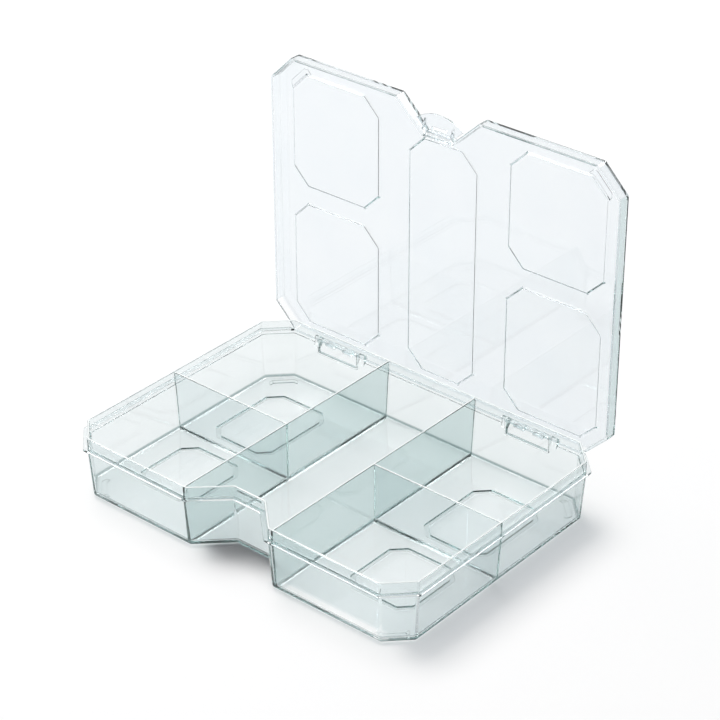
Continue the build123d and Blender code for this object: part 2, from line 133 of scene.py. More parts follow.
def loft(levels, place, turn=None):
    """Closed solid through polygons of equal point counts; turn maps (u, v, w) to (x, y, z)."""
    bm = bmesh.new()
    rings = []
    for pts, w in levels:
        ring = []
        for u, v in pts:
            x, y, z = turn(u, v, w) if turn else (u, v, w)
            ring.append(bm.verts.new(place(x, y, z)))
        rings.append(ring)
    n = len(rings[0])
    for lower, upper in zip(rings, rings[1:]):
        for i in range(n):
            j = (i + 1) % n
            bm.faces.new((lower[i], lower[j], upper[j], upper[i]))
    bm.faces.new(list(reversed(rings[0])))
    bm.faces.new(rings[-1])
    bmesh.ops.recalc_face_normals(bm, faces=bm.faces)
    mesh = bpy.data.meshes.new("loft")
    bm.to_mesh(mesh)
    bm.free()
    obj = bpy.data.objects.new("loft", mesh)
    scene.collection.objects.link(obj)
    return obj


def bar(points, w0, w1, place, turn, edge=0.15, corner=0.25, seg=3):
    """Extruded polygon with rounded corners and softened end edges."""
    area = sum(points[i - 1][0] * points[i][1] - points[i][0] * points[i - 1][1] for i in range(len(points)))
    pts = points if area > 0 else list(reversed(points))
    if corner > 0:
        pts = rounded(pts, corner, seg)
    levels = []
    if edge > 0:
        levels += [(offset(pts, -edge), w0), (offset(pts, -0.3 * edge), w0 + 0.3 * edge)]
        levels += [(pts, w0 + edge), (pts, w1 - edge)]
        levels += [(offset(pts, -0.3 * edge), w1 - 0.3 * edge), (offset(pts, -edge), w1)]
    else:
        levels = [(pts, w0), (pts, w1)]
    return loft(levels, place, turn)


def along_x(u, v, w):
    return w, u, v


def along_y(u, v, w):
    return u, w, v


def rectangle(u0, u1, v0, v1):
    return [(u0, v0), (u1, v0), (u1, v1), (u0, v1)]


def octagon(x0, x1, y0, y1, c):
    return [(x0 + c, y0), (x1 - c, y0), (x1, y0 + c), (x1, y1 - c),
            (x1 - c, y1), (x0 + c, y1), (x0, y1 - c), (x0, y0 + c)]


def combine(base, steps):
    """Applies a chain of solid operations and drops the tools."""
    for op, tool in steps:
        m = base.modifiers.new("cut", "BOOLEAN")
        m.operation, m.object, m.solver = op, tool, "MANIFOLD"
        tool.hide_render = True
    dg = bpy.context.evaluated_depsgraph_get()
    mesh = bpy.data.meshes.new_from_object(base.evaluated_get(dg))
    base.modifiers.clear()
    old = base.data
    base.data = mesh
    bpy.data.meshes.remove(old)
    for _, tool in steps:
        data = tool.data
        bpy.data.objects.remove(tool)
        bpy.data.meshes.remove(data)
    return base


def finish_piece(obj, name, body, nodes, material, smooth=34):
    """Cleans the solid, sets its shading and puts it on its body."""
    obj.name = name
    obj.data.name = name
    bm = bmesh.new()
    bm.from_mesh(obj.data)
    bmesh.ops.remove_doubles(bm, verts=bm.verts, dist=2e-7)
    bmesh.ops.dissolve_degenerate(bm, edges=bm.edges, dist=2e-7)
    open_edges = sum(1 for e in bm.edges if len(e.link_faces) != 2)
    for f in bm.faces:
        f.smooth = True
    for e in bm.edges:
        e.smooth = len(e.link_faces) == 2 and e.calc_face_angle(3.0) < math.radians(smooth)
    bm.to_mesh(obj.data)
    print(name, "faces", len(bm.faces), "open edges", open_edges, "volume cm3", round(bm.calc_volume() * 1e6, 2))
    bm.free()
    m = obj.modifiers.new("normals", "WEIGHTED_NORMAL")
    m.keep_sharp, m.weight, m.mode = True, 50, "FACE_AREA"
    obj.data.materials.clear()
    obj.data.materials.append(material)
    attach(obj, body)
    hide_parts(*nodes)
    return obj


# -------------------------------------------------------------------- materials
def clear_plastic(name, tint_a, tint_b, painted_shade_long, painted_shade_foot, painted_shade_groove_floor, painted_highlight_top, painted_shade_side,
                  shades, absorb, density, rough, wave):
    """Clear moulded styrene: refracting, faintly tinted in its thickness, with the slow waviness of a moulding; its
    base colour also carries painted shade and painted highlights placed by position and facing.
    """
    mat = bpy.data.materials.new(name)
    mat.use_nodes = True
    nt = mat.node_tree
    nt.nodes.clear()
    out = nt.nodes.new("ShaderNodeOutputMaterial")
    mix = nt.nodes.new("ShaderNodeMixShader")
    path = nt.nodes.new("ShaderNodeLightPath")
    thru = nt.nodes.new("ShaderNodeBsdfTransparent")
    # the colours the walls let through on shadow rays set how dark their cast shadows fall: walls more than the flat
    # floor, more again at their thickened foot, and, set by place, deeper still for the right wall and the walls round
    # the notch, to deepen the cast shadows beside them
    surface = nt.nodes.new("ShaderNodeNewGeometry")
    facing = nt.nodes.new("ShaderNodeSeparateXYZ")
    place = nt.nodes.new("ShaderNodeSeparateXYZ")

    def size_of(axis):
        plain = nt.nodes.new("ShaderNodeMath")
        plain.operation = "ABSOLUTE"
        nt.links.new(facing.outputs[axis], plain.inputs[0])
        return plain.outputs["Value"]

    def ramp_of(source, low, high, a, b):
        """Value that goes from a to b while a coordinate, or another value, goes from low to high."""
        span = nt.nodes.new("ShaderNodeMapRange")
        span.interpolation_type = "SMOOTHSTEP"
        span.inputs["From Min"].default_value = low
        span.inputs["From Max"].default_value = high
        span.inputs["To Min"].default_value = a
        span.inputs["To Max"].default_value = b
        nt.links.new(place.outputs[source] if isinstance(source, str) else source, span.inputs["Value"])
        return span.outputs["Result"]

    def product(first, *rest):
        for other in rest:
            times = nt.nodes.new("ShaderNodeMath")
            times.operation = "MULTIPLY"
            nt.links.new(first, times.inputs[0])
            nt.links.new(other, times.inputs[1])
            first = times.outputs["Value"]
        return first

    def blend(factor, a, b):
        mixed = nt.nodes.new("ShaderNodeMix")
        mixed.data_type = "RGBA"
        nt.links.new(factor, mixed.inputs["Factor"])
        for socket, value in (("A", a), ("B", b)):
            if isinstance(value, tuple):
                mixed.inputs[socket].default_value = (*value, 1)
            else:
                nt.links.new(value, mixed.inputs[socket])
        return mixed.outputs["Result"]

    thru.inputs["Color"].default_value = (*shades["wall"], 1)
    if "flat" in shades:
        wall = blend(ramp_of("X", 0.088, 0.097, 0.0, 1.0), shades["wall"], shades["right"])
        nook = product(ramp_of("X", -0.024, -0.016, 0.0, 1.0), ramp_of("X", 0.010, 0.016, 1.0, 0.0),
                       ramp_of("Y", -0.057, -0.053, 1.0, 0.0))
        wall = blend(ramp_of("Z", 0.0015, 0.005, 1.0, 0.0), wall, shades["foot"])
        wall = blend(nook, wall, shades["notch"])
        nt.links.new(blend(ramp_of(size_of("Z"), 0.80, 0.98, 0.0, 1.0), wall, shades["flat"]), thru.inputs["Color"])
    p = nt.nodes.new("ShaderNodeBsdfPrincipled")
    p.inputs["Transmission Weight"].default_value = 1.0
    p.inputs["IOR"].default_value = 1.55
    p.inputs["Roughness"].default_value = rough
    coord = nt.nodes.new("ShaderNodeTexCoord")
    cloud = nt.nodes.new("ShaderNodeTexNoise")
    cloud.inputs["Scale"].default_value = 38.0
    cloud.inputs["Detail"].default_value = 3.0
    cloud.inputs["Roughness"].default_value = 0.5
    ramp = nt.nodes.new("ShaderNodeValToRGB")
    ramp.color_ramp.elements[0].position = 0.35
    ramp.color_ramp.elements[0].color = (*tint_a, 1)
    ramp.color_ramp.elements[1].position = 0.65
    ramp.color_ramp.elements[1].color = (*tint_b, 1)
    swell = nt.nodes.new("ShaderNodeTexNoise")
    swell.inputs["Scale"].default_value = 55.0
    swell.inputs["Detail"].default_value = 1.5
    bump = nt.nodes.new("ShaderNodeBump")
    bump.inputs["Strength"].default_value = wave
    bump.inputs["Distance"].default_value = 0.0006
    vol = nt.nodes.new("ShaderNodeVolumeAbsorption")
    vol.inputs["Color"].default_value = (*absorb, 1)
    vol.inputs["Density"].default_value = density
    link = nt.links.new
    link(surface.outputs["Normal"], facing.inputs["Vector"])
    link(coord.outputs["Object"], place.inputs["Vector"])
    link(coord.outputs["Object"], cloud.inputs["Vector"])
    link(coord.outputs["Object"], swell.inputs["Vector"])
    link(cloud.outputs["Fac"], ramp.inputs["Fac"])
    # painted shade: faces turned along x inside the side walls, the long dividers above all, are darkened, standing in
    # for the darker light they show because of the way they face
    level = size_of("Z")
    inside = product(ramp_of("X", 0.080, 0.088, 1.0, 0.0), ramp_of("X", -0.088, -0.080, 0.0, 1.0))
    colour = blend(product(ramp_of(size_of("X"), 0.75, 0.95, 0.0, 1.0), inside), ramp.outputs["Color"], painted_shade_long)
    # painted shade: steep faces at the feet of walls, grooves and dividers are darkened, standing in for the dark lines
    # that light bent and guided through the plastic makes there, on top of the plastic's own tint in its thickness
    colour = blend(product(ramp_of("Z", 0.0019, 0.0034, 1.0, 0.0), ramp_of(level, 0.55, 0.95, 1.0, 0.0)), colour, painted_shade_foot)
    # painted shade: the flat floors of the grooves are darkened, standing in for the shade that falls in these recesses
    low = product(ramp_of("Z", 0.00085, 0.00095, 0.0, 1.0), ramp_of("Z", 0.0012, 0.0016, 1.0, 0.0), ramp_of(level, 0.9, 0.97, 0.0, 1.0))
    colour = blend(low, colour, painted_shade_groove_floor)
    if "flat" in shades:
        # painted light: the front right corner's floor and the low part of the front wall there are painted clear
        # white, standing in for a bright band of light seen through the front wall
        clear = product(ramp_of("X", 0.0300, 0.0315, 0.0, 1.0), ramp_of("X", 0.0850, 0.0865, 1.0, 0.0),
                        ramp_of("Y", -0.0662, -0.0656, 1.0, 0.0), ramp_of("Z", 0.0066, 0.0072, 1.0, 0.0))
        colour = blend(clear, colour, (1.0, 1.0, 1.0))
    if painted_highlight_top:
        # painted highlight: faces turned upward when the lid stands open are painted near white
        shape = nt.nodes.new("ShaderNodeSeparateXYZ")
        link(coord.outputs["Normal"], shape.inputs["Vector"])
        upper = product(ramp_of(shape.outputs["Z"], 0.5, 0.65, 0.0, 1.0), ramp_of("Y", 0.0748, 0.0752, 1.0, 0.0))
        colour = blend(upper, colour, painted_highlight_top)
        # painted shade: the faces on the lid's right-hand side are painted a darker grey-green
        beside = product(ramp_of(shape.outputs["X"], 0.8, 0.95, 0.0, 1.0), ramp_of("X", 0.0985, 0.0995, 0.0, 1.0))
        colour = blend(beside, colour, painted_shade_side)
    link(colour, p.inputs["Base Color"])
    link(swell.outputs["Fac"], bump.inputs["Height"])
    link(bump.outputs["Normal"], p.inputs["Normal"])
    link(path.outputs["Is Shadow Ray"], mix.inputs["Fac"])
    link(p.outputs["BSDF"], mix.inputs[1])
    link(thru.outputs["BSDF"], mix.inputs[2])
    link(mix.outputs["Shader"], out.inputs["Surface"])
    link(vol.outputs["Volume"], out.inputs["Volume"])
    return mat


# the tray's colours after its two random tones are painted shade: on the long dividers, at the feet of walls, grooves
# and dividers, and on the groove floors
tray_mat = clear_plastic("tray_clear", (0.855, 0.895, 0.90), (0.88, 0.915, 0.92),
                         (0.70, 0.785, 0.78), (0.24, 0.33, 0.33), (0.70, 0.76, 0.76), None, None,
                         {"wall": (0.95, 0.955, 0.955), "right": (0.66, 0.685, 0.70), "notch": (0.15, 0.18, 0.20),
                          "foot": (0.70, 0.73, 0.74), "flat": (0.995, 1.0, 1.0)},
                         (0.25, 0.72, 0.68), 6.0, 0.02, 0.02)
# the lid's sixth colour is a painted highlight on its upward faces, its seventh a painted shade on its right side
lid_mat = clear_plastic("lid_clear", (0.855, 0.89, 0.915), (0.875, 0.905, 0.925),
                        (0.85, 0.89, 0.91), (0.85, 0.89, 0.91), (0.85, 0.89, 0.91), (0.99, 0.995, 0.995), (0.81, 0.89, 0.88),
                        {"wall": (0.985, 0.985, 0.985)},
                        (0.25, 0.72, 0.68), 6.0, 0.02, 0.03)


def painted_highlight_edge(name):
    """Opaque whitish, finely rough material for the top faces of walls, rim and dividers: a painted highlight, standing
    in for the bright lines that light makes along these edges.
    """
    mat = bpy.data.materials.new(name)
    mat.use_nodes = True
    nt = mat.node_tree
    p = nt.nodes["Principled BSDF"]
    p.inputs["Roughness"].default_value = 0.35
    coord = nt.nodes.new("ShaderNodeTexCoord")
    grain = nt.nodes.new("ShaderNodeTexNoise")
    grain.inputs["Scale"].default_value = 60.0
    grain.inputs["Detail"].default_value = 2.0
    ramp = nt.nodes.new("ShaderNodeValToRGB")
    ramp.color_ramp.elements[0].position = 0.35
    ramp.color_ramp.elements[0].color = (0.80, 0.84, 0.84, 1)
    ramp.color_ramp.elements[1].position = 0.65
    ramp.color_ramp.elements[1].color = (0.88, 0.91, 0.91, 1)
    nt.links.new(coord.outputs["Object"], grain.inputs["Vector"])
    nt.links.new(grain.outputs["Fac"], ramp.inputs["Fac"])
    nt.links.new(ramp.outputs["Color"], p.inputs["Base Color"])
    return mat


highlight_edge_mat = painted_highlight_edge("tray_highlight_edge")

# ------------------------------------------------------------------------- tray
# outside of the wall, as offset from the plan and height
BOTTOM_R = 2.0
outer = arc(-lean(Z_UNDER + BOTTOM_R) - BOTTOM_R, Z_UNDER + BOTTOM_R, BOTTOM_R, -90, 0, 6)
outer += [(-lean(14.0), 14.0), (0.0, Z_STEP), (0.0, Z_RIM - 0.5)]
outer += arc(-0.5, Z_RIM - 0.5, 0.5, 0, 90, 6)[1:]
tray = loft([(rounded(outline(d), CORNER_R, 5), z) for d, z in outer], open_frame)

FLOOR_R = 2.0
inner = [(-T_WALL - lean(Z_FLOOR + FLOOR_R) - FLOOR_R + x, Z_FLOOR + FLOOR_R + y)
         for x, y in arc(0, 0, FLOOR_R, -90, 0, 4)]
inner += [(-T_WALL, Z_STEP - 0.12), (-T_WALL + 0.04, Z_STEP - 0.04), (-T_WALL + 0.12, Z_STEP),
          (-T_BAND - 0.1, Z_STEP + 0.02), (-T_BAND - 0.03, Z_STEP + 0.06), (-T_BAND, Z_STEP + 0.15),
          (-T_BAND, Z_RIM - 0.5)]
inner += [(-T_BAND + 0.5 - x, Z_RIM - 0.5 + y) for x, y in arc(0, 0, 0.5, 0, 90, 6)[1:]] + [(-T_BAND + 0.5, Z_RIM + 1.0)]
cavity = loft([(rounded(outline(d), CORNER_R, 5), z) for d, z in inner], open_frame)


def divider_section(top):
    """Half of a divider's section with its foot fillet and rounded top, then mirrored."""
    h = DIVIDER_T / 2
    r = 1.6
    side = [(h + r + 0.6, 1.0), (h + r + 0.1, Z_FLOOR - 0.02)]
    side += [(h + r + x, Z_FLOOR + r + y) for x, y in arc(0, 0, r, 270, 180, 6)]
    side += arc(h - 0.58, top - 0.58, 0.58, 0, 90, 8)
    return side + [(-x, z) for x, z in reversed(side)]


section = divider_section(Z_DIVIDER)
low_section = divider_section(Z_DIVIDER - 0.02)
cuts = []
for s in (-1, 1):
    cuts.append(("DIFFERENCE", loft([([(s * DIVIDER_X + u, v) for u, v in section], w)
                                     for w in (MID_Y - 95, MID_Y + 95)], open_frame, along_y)))
    cuts.append(("DIFFERENCE", loft([([(CROSS_Y + u, v) for u, v in low_section], w)
                                     for w in sorted((s * DIVIDER_X, s * 115))], open_frame, along_x)))
cavity = combine(cavity, cuts)


def clipped(points, limit):
    """The polygon's part in front of y = limit."""
    out = []
    for i, q in enumerate(points):
        p = points[i - 1]
        if (p[1] > limit) != (q[1] > limit):
            t = (limit - p[1]) / (q[1] - p[1])
            out.append((p[0] + t * (q[0] - p[0]), limit))
        if q[1] <= limit:
            out.append(q)
    return out


E = 0.28
rim_profile = [(FLANGE_OUT - x, FLANGE_Z0 + z) for x, z in ((E, 0), (0.3 * E, 0.3 * E), (0, E))]
rim_profile += [(FLANGE_OUT - x, FLANGE_Z1 - z) for x, z in ((0, E), (0.3 * E, 0.3 * E), (E, 0))]
flange = loft([(rounded(clipped(outline(d), MID_Y + HALF_D - 0.4), CORNER_R, 5), z) for d, z in rim_profile],
              open_frame)

steps = [("UNION", flange)]
# bracket-shaped stacking feet, each with a small dimple
foot = [(-7.1, -3.15), (-5.1, -1.2), (5.1, -1.2), (7.1, -3.15), (7.1, -0.2), (5.7, 1.25), (-5.7, 1.25), (-7.1, -0.2)]
for sx in (-1, 1):
    for sy in (-1, 1):
        k = 1 / math.sqrt(2)
        ex, ey = Vector((sy * k, -sx * k)), Vector((sx * k, sy * k))
        if ex.x * ey.y - ex.y * ey.x < 0:
            turn_foot = [(-u, v) for u, v in reversed(foot)]
            ex = -ex
            dimple_u = 5.4
        else:
            turn_foot, dimple_u = foot, -5.4

        def local(u, v, w, ex=ex, ey=ey, sx=sx, sy=sy):
            return (sx * 88.0 + ex.x * u + ey.x * v, MID_Y + sy * 62.8 + ex.y * u + ey.y * v, w)

        pts = rounded(turn_foot, 0.45, 3)
        steps.append(("UNION", loft([(offset(pts, -0.15), 0.0), (offset(pts, -0.04), 0.05), (pts, 0.16), (pts, 0.9)],
                                    open_frame, local)))
        ring = arc(dimple_u, -0.3, 0.55, 0, 360, 14)[:-1]
        steps.append(("DIFFERENCE", loft([(ring, -0.3), (ring, 0.18), (offset(ring, -0.2), 0.3)], open_frame, local)))
tray = combine(tray, steps)

steps = [("DIFFERENCE", cavity)]
for sx in (-1, 1):
    for y0, y1 in ((MID_Y - 49.2, MID_Y - 9.7), (MID_Y + 3.0, MID_Y + 52.0)):
        x0, x1 = sorted((sx * PAD_X0, sx * PAD_X1))

        def ring(inset, z):
            return (rounded(octagon(x0 + inset, x1 - inset, y0 + inset, y1 - inset, PAD_C - 0.55 * inset), 1.6, 5), z)

        w, low = PAD_W, Z_FLOOR - PAD_D
        steps.append(("DIFFERENCE", loft([ring(0.12, low), ring(0.03, low + 0.03), ring(0.0, low + 0.12), ring(0.0, Z_FLOOR - 0.04),
                                          ring(-0.04, Z_FLOOR), ring(-0.04, Z_FLOOR + 0.5)], open_frame)))
        steps.append(("UNION", loft([ring(w - 0.12, low - 0.15), ring(w - 0.12, low), ring(w - 0.03, low + 0.03), ring(w, low + 0.12),
                                     ring(w, Z_FLOOR - 0.04), ring(w + 0.04, Z_FLOOR)], open_frame)))
    # pocket in the back of the rear wall behind each pin
    half = PIN_HALF + POCKET_T
    steps.append(("UNION", bar(rectangle(sx * HINGE_X - half, sx * HINGE_X + half, WINDOW_Z - POCKET_T, RELIEF_Z + POCKET_T),
                               MID_Y + POCKET_Y - POCKET_T, MID_Y + 71.8, open_frame, along_y, 0.15, 0.5)))
    steps.append(("DIFFERENCE", bar(rectangle(sx * HINGE_X - PIN_HALF, sx * HINGE_X + PIN_HALF, WINDOW_Z, RELIEF_Z),
                                    MID_Y + POCKET_Y, MID_Y + 76.0, open_frame, along_y, 0, 0.4)))
tray = combine(tray, steps)

lug = [(MID_Y + 71.8, 22.6), (MID_Y + 72.6, 23.4), (MID_Y + 74.55, 25.7), (MID_Y + 74.55, 28.3),
       (MID_Y + 74.0, 28.9), (MID_Y + 71.8, 28.9)]
steps = []
for sx in (-1, 1):
    c = sx * HINGE_X
    for w0, w1 in ((c - PIN_HALF - LUG_W, c - PIN_HALF - 0.03), (c + PIN_HALF + 0.03, c + PIN_HALF + LUG_W)):
        steps.append(("UNION", bar(lug, w0, w1, open_frame, along_x, 0.2, 0.3)))
    ring = arc(HINGE_Y, HINGE_Z, PIN_R, 0, 360, 20)[:-1]
    steps.append(("UNION", loft([(ring, c - PIN_HALF - PIN_IN_LUG), (ring, c + PIN_HALF + PIN_IN_LUG)],
                                open_frame, along_x)))
ny = MID_Y - HALF_D + NOTCH_D
steps.append(("UNION", bar([(ny + 0.5, 30.7), (ny, 30.8), (ny - 0.4, 31.1), (ny - 0.4, 31.5), (ny, 32.2), (ny + 0.5, 32.3)],
                           -7.4, 7.4, open_frame, along_x, 0.12, 0.1, 2)))
tray = combine(tray, steps)
finish_piece(tray, "tray_moulding", "tray",
             [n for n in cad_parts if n.startswith(("tray_", "foot_", "long_", "cross_", "hinge_", "latch_catch"))],
             tray_mat)
# painted highlight: the upward-facing top faces of the rim and dividers get the whitish edge material
tray.data.materials.append(highlight_edge_mat)
for face in tray.data.polygons:
    if face.normal.z > (0.75 if face.center.z > (Z_RIM - 0.2) * MM else 0.85) and face.center.z > (Z_DIVIDER - 0.4) * MM:
        face.material_index = 1

# -------------------------------------------------------------------------- lid
skirt = [(LID_OUT - 0.25, LID_Z0), (LID_OUT - 0.08, LID_Z0 + 0.08), (LID_OUT, LID_Z0 + 0.25)]
skirt += arc(LID_OUT - 0.35, LID_Z2 - 0.35, 0.35, 0, 90, 5)
lid = loft([(rounded(outline(d), CORNER_R, 5), z) for d, z in skirt], lid_frame)
inside = [(LID_IN + 0.2, LID_Z0 - 1.0), (LID_IN + 0.2, LID_Z0), (LID_IN + 0.06, LID_Z0 + 0.06), (LID_IN, LID_Z0 + 0.2)]
inside += arc(LID_IN - 0.15, LID_Z1 - 0.15, 0.15, 0, 90, 3)
lid_space = loft([(rounded(outline(d), CORNER_R, 5), z) for d, z in inside], lid_frame)

panels = [(-92.5, -37.8, MID_Y - 65.9, MID_Y - 5.9), (-92.5, -37.8, MID_Y + 2.6, MID_Y + 70.0),
          (-20.5, 20.5, MID_Y - 55.2, MID_Y + 69.8),
          (37.8, 92.5, MID_Y - 65.9, MID_Y - 5.9), (37.8, 92.5, MID_Y + 2.6, MID_Y + 70.0)]
steps = [("DIFFERENCE", lid_space)]
for x0, x1, y0, y1 in panels:
    under, over = [], []
    for inset, z in ((-0.1, 33.6), (-0.1, LID_Z1), (0.0, LID_Z1 - 0.08), (0.36, LID_Z1 - 0.72),
                     (0.48, LID_Z1 - 0.86), (0.68, LID_Z1 - 0.9)):
        under.append((rounded(octagon(x0 + inset, x1 - inset, y0 + inset, y1 - inset, 9.0 - 0.3 * inset), 0.9, 3), z))
    for inset, z in ((0.4, LID_Z2 + 0.4), (0.4, LID_Z2), (0.55, LID_Z2 - 0.06), (0.66, LID_Z2 - 0.2),
                     (0.98, LID_Z2 - 0.74), (1.08, LID_Z2 - 0.86), (1.28, LID_Z2 - 0.9)):
        over.append((rounded(octagon(x0 + inset, x1 - inset, y0 + inset, y1 - inset, 9.0 - 0.35 * inset), 0.9, 3), z))
    steps.append(("UNION", loft(under, lid_frame)))
    steps.append(("DIFFERENCE", loft(over, lid_frame)))
for sx in (-1, 1):
    # skirt cut back over each hinge
    steps.append(("DIFFERENCE", bar(rectangle(sx * HINGE_X - 16.7, sx * HINGE_X + 16.7, LID_Z0 - 2.0, RELIEF_Z),
                                    MID_Y + 71.0, MID_Y + 77.0, lid_frame, along_y, 0, 0.3)))
# skirt left out behind the latch
steps.append(("DIFFERENCE", bar(rectangle(-7.95, 7.95, LID_Z0 - 2.0, LID_Z1 - 0.02), MID_Y - 59.9, MID_Y - 57.7,
                                lid_frame, along_y, 0, 0.2)))
socket = [(-7.4, -3.75), (-5.0, -1.45), (5.0, -1.45), (7.4, -3.75), (7.4, -0.1), (5.8, 1.5), (-5.8, 1.5), (-7.4, -0.1)]
for sx in (-1, 1):
    k = 1 / math.sqrt(2)
    ex, ey = Vector((k, sx * k)), Vector((sx * k, -k))
    if ex.x * ey.y - ex.y * ey.x < 0:
        ex = -ex

    def on_lid(u, v, w, ex=ex, ey=ey, sx=sx):
        return (sx * 88.0 + ex.x * u + ey.x * v, MID_Y - 62.8 + ex.y * u + ey.y * v, w)

    pts = rounded(socket, 0.45, 3)
    steps.append(("DIFFERENCE", loft([(offset(pts, -0.3), LID_Z2 - 0.55), (offset(pts, -0.1), LID_Z2 - 0.5),
                                      (pts, LID_Z2 - 0.3), (pts, LID_Z2 - 0.08), (offset(pts, 0.1), LID_Z2),
                                      (offset(pts, 0.1), LID_Z2 + 0.4)], lid_frame, on_lid)))
lid = combine(lid, steps)

# hooks that wrap the pins, two on each
steps = []
for sx in (-1, 1):
    for off in (-5.5, 5.5):
        c = sx * HINGE_X + off
        ring = arc(HINGE_Y, HINGE_Z, 1.85, 0, 360, 28)[:-1]
        hook = bar(ring, c - 2.6, c + 2.6, lid_frame, along_x, 0.15, 0)
        leg = bar(rectangle(HINGE_Y + 0.2, HINGE_Y + 1.42, HINGE_Z, RELIEF_Z + 0.6), c - 2.6, c + 2.6,
                  lid_frame, along_x, 0.15, 0.1, 2)
        hole = loft([(arc(HINGE_Y, HINGE_Z, 0.96, 0, 360, 24)[:-1], w) for w in (c - 4, c + 4)], lid_frame, along_x)
        q = math.radians(35)
        mouth = []
        for u, v in rectangle(-1.3, 1.3, -0.65, 0.65):
            mouth.append((HINGE_Y - 1.6 + u * math.cos(q) - v * math.sin(q),
                          HINGE_Z - 1.1 + u * math.sin(q) + v * math.cos(q)))
        gap = loft([(mouth, w) for w in (c - 4, c + 4)], lid_frame, along_x)
        steps.append(("UNION", combine(hook, [("UNION", leg), ("DIFFERENCE", hole), ("DIFFERENCE", gap)])))
lid = combine(lid, steps)
finish_piece(lid, "lid_moulding", "lid",
             [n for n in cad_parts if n.startswith(("lid_", "hook_"))], lid_mat)

# ------------------------------------------------------------------------ latch
y0, y1 = MID_Y - 59.35, MID_Y - 58.25
latch = bar(rectangle(-7.6, 7.6, 28.5, 33.2), y0, y1, lid_frame, along_y, 0.2, 0.5)
bow = []
cy = None
ax, ay, by = 13.6, MID_Y - 65.6, MID_Y - 70.4
radius = (ax * ax + (ay - by) ** 2) / (2 * (ay - by))
cy = by + radius
half = math.degrees(math.asin(ax / radius))
bow = arc(0, cy, radius, -90 - half, -90 + half, 22)
shelf_pts = [(-7.4, y0 + 0.4), (-7.4, y0), (-8.1, MID_Y - 60.6)] + bow + [(8.1, MID_Y - 60.6), (7.4, y0), (7.4, y0 + 0.4)]
shelf = loft([(offset(shelf_pts, -0.22), 29.8), (offset(shelf_pts, -0.07), 29.87), (shelf_pts, 30.02),
              (shelf_pts, 30.68), (offset(shelf_pts, -0.07), 30.83), (offset(shelf_pts, -0.22), 30.9)], lid_frame)
slot_pts = rounded(rectangle(-4.6, 4.6, MID_Y - 63.8, MID_Y - 62.0), 0.85, 5)
slot = loft([(slot_pts, 29.0), (slot_pts, 31.5)], lid_frame)
steps = [("UNION", shelf)]
steps.append(("UNION", bar([(y1 - 0.4, 29.1), (y1, 29.2), (y1 + 0.35, 29.6), (y1 + 0.35, 30.0), (y1, 30.5), (y1 - 0.4, 30.6)],
                           -7.0, 7.0, lid_frame, along_x, 0.12, 0.08, 2)))
for s in (-1, 1):
    steps.append(("UNION", bar([(MID_Y - 61.6, 30.3), (MID_Y - 67.2, 30.3), (MID_Y - 67.0, 29.8), (MID_Y - 61.9, 27.6)],
                               s * 8.2 - 0.5, s * 8.2 + 0.5, lid_frame, along_x, 0.15, 0.12, 2)))
rod = [(1.3 * math.sin(math.radians(a)), 8.1 - 1.1 + 1.1 * math.cos(math.radians(a))) for a in (90, 68, 46, 26, 10)]
levels = []
for r, x in reversed(rod):
    levels.append((arc(MID_Y - 60.5, 30.35, r, 0, 360, 20)[:-1], -x))
for r, x in rod:
    levels.append((arc(MID_Y - 60.5, 30.35, r, 0, 360, 20)[:-1], x))
steps.append(("UNION", loft(levels, lid_frame, along_x)))
steps.append(("DIFFERENCE", slot))
latch = combine(latch, steps)
finish_piece(latch, "latch_moulding", "latch",
             ["latch_tongue", "latch_shelf", "latch_rib_left", "latch_rib_right", "latch_bar"], lid_mat)

# ------------------------------------------------------------------------ stage
bm = bmesh.new()
bmesh.ops.create_grid(bm, x_segments=1, y_segments=1, size=6.0)
mesh = bpy.data.meshes.new("floor")
bm.to_mesh(mesh)
bm.free()
floor = bpy.data.objects.new("floor", mesh)
scene.collection.objects.link(floor)
paper = bpy.data.materials.new("paper")
paper.use_nodes = True
nt = paper.node_tree
p = nt.nodes["Principled BSDF"]
p.inputs["Roughness"].default_value = 0.9
p.inputs["Specular IOR Level"].default_value = 0.1
coord = nt.nodes.new("ShaderNodeTexCoord")
grain = nt.nodes.new("ShaderNodeTexNoise")
grain.inputs["Scale"].default_value = 4.0
ramp = nt.nodes.new("ShaderNodeValToRGB")
ramp.color_ramp.elements[0].color = (0.90, 0.90, 0.905, 1)
ramp.color_ramp.elements[1].color = (0.92, 0.92, 0.92, 1)
nt.links.new(coord.outputs["Object"], grain.inputs["Vector"])
nt.links.new(grain.outputs["Fac"], ramp.inputs["Fac"])
nt.links.new(ramp.outputs["Color"], p.inputs["Base Color"])
floor.data.materials.append(paper)

# ------------------------------------------------------------------------ light
floor.visible_glossy = False     # upright faces mirror the studio's lower half, not the bright paper
world = bpy.data.worlds.new("studio")
scene.world = world
world.use_nodes = True
nt = world.node_tree
bg = nt.nodes["Background"]
coord = nt.nodes.new("ShaderNodeTexCoord")


def directional(vector, low, high):
    """Grey level that runs from low to high towards a direction."""
    dot = nt.nodes.new("ShaderNodeVectorMath")
    dot.operation = "DOT_PRODUCT"
    dot.inputs[1].default_value = vector
    span = nt.nodes.new("ShaderNodeMapRange")
    span.interpolation_type = "SMOOTHSTEP"
    span.inputs["From Min"].default_value = -0.9
    span.inputs["From Max"].default_value = 0.9
    span.inputs["To Min"].default_value = low
    span.inputs["To Max"].default_value = high
    nt.links.new(coord.outputs["Generated"], dot.inputs[0])
    nt.links.new(dot.outputs["Value"], span.inputs["Value"])
    return span.outputs["Result"]


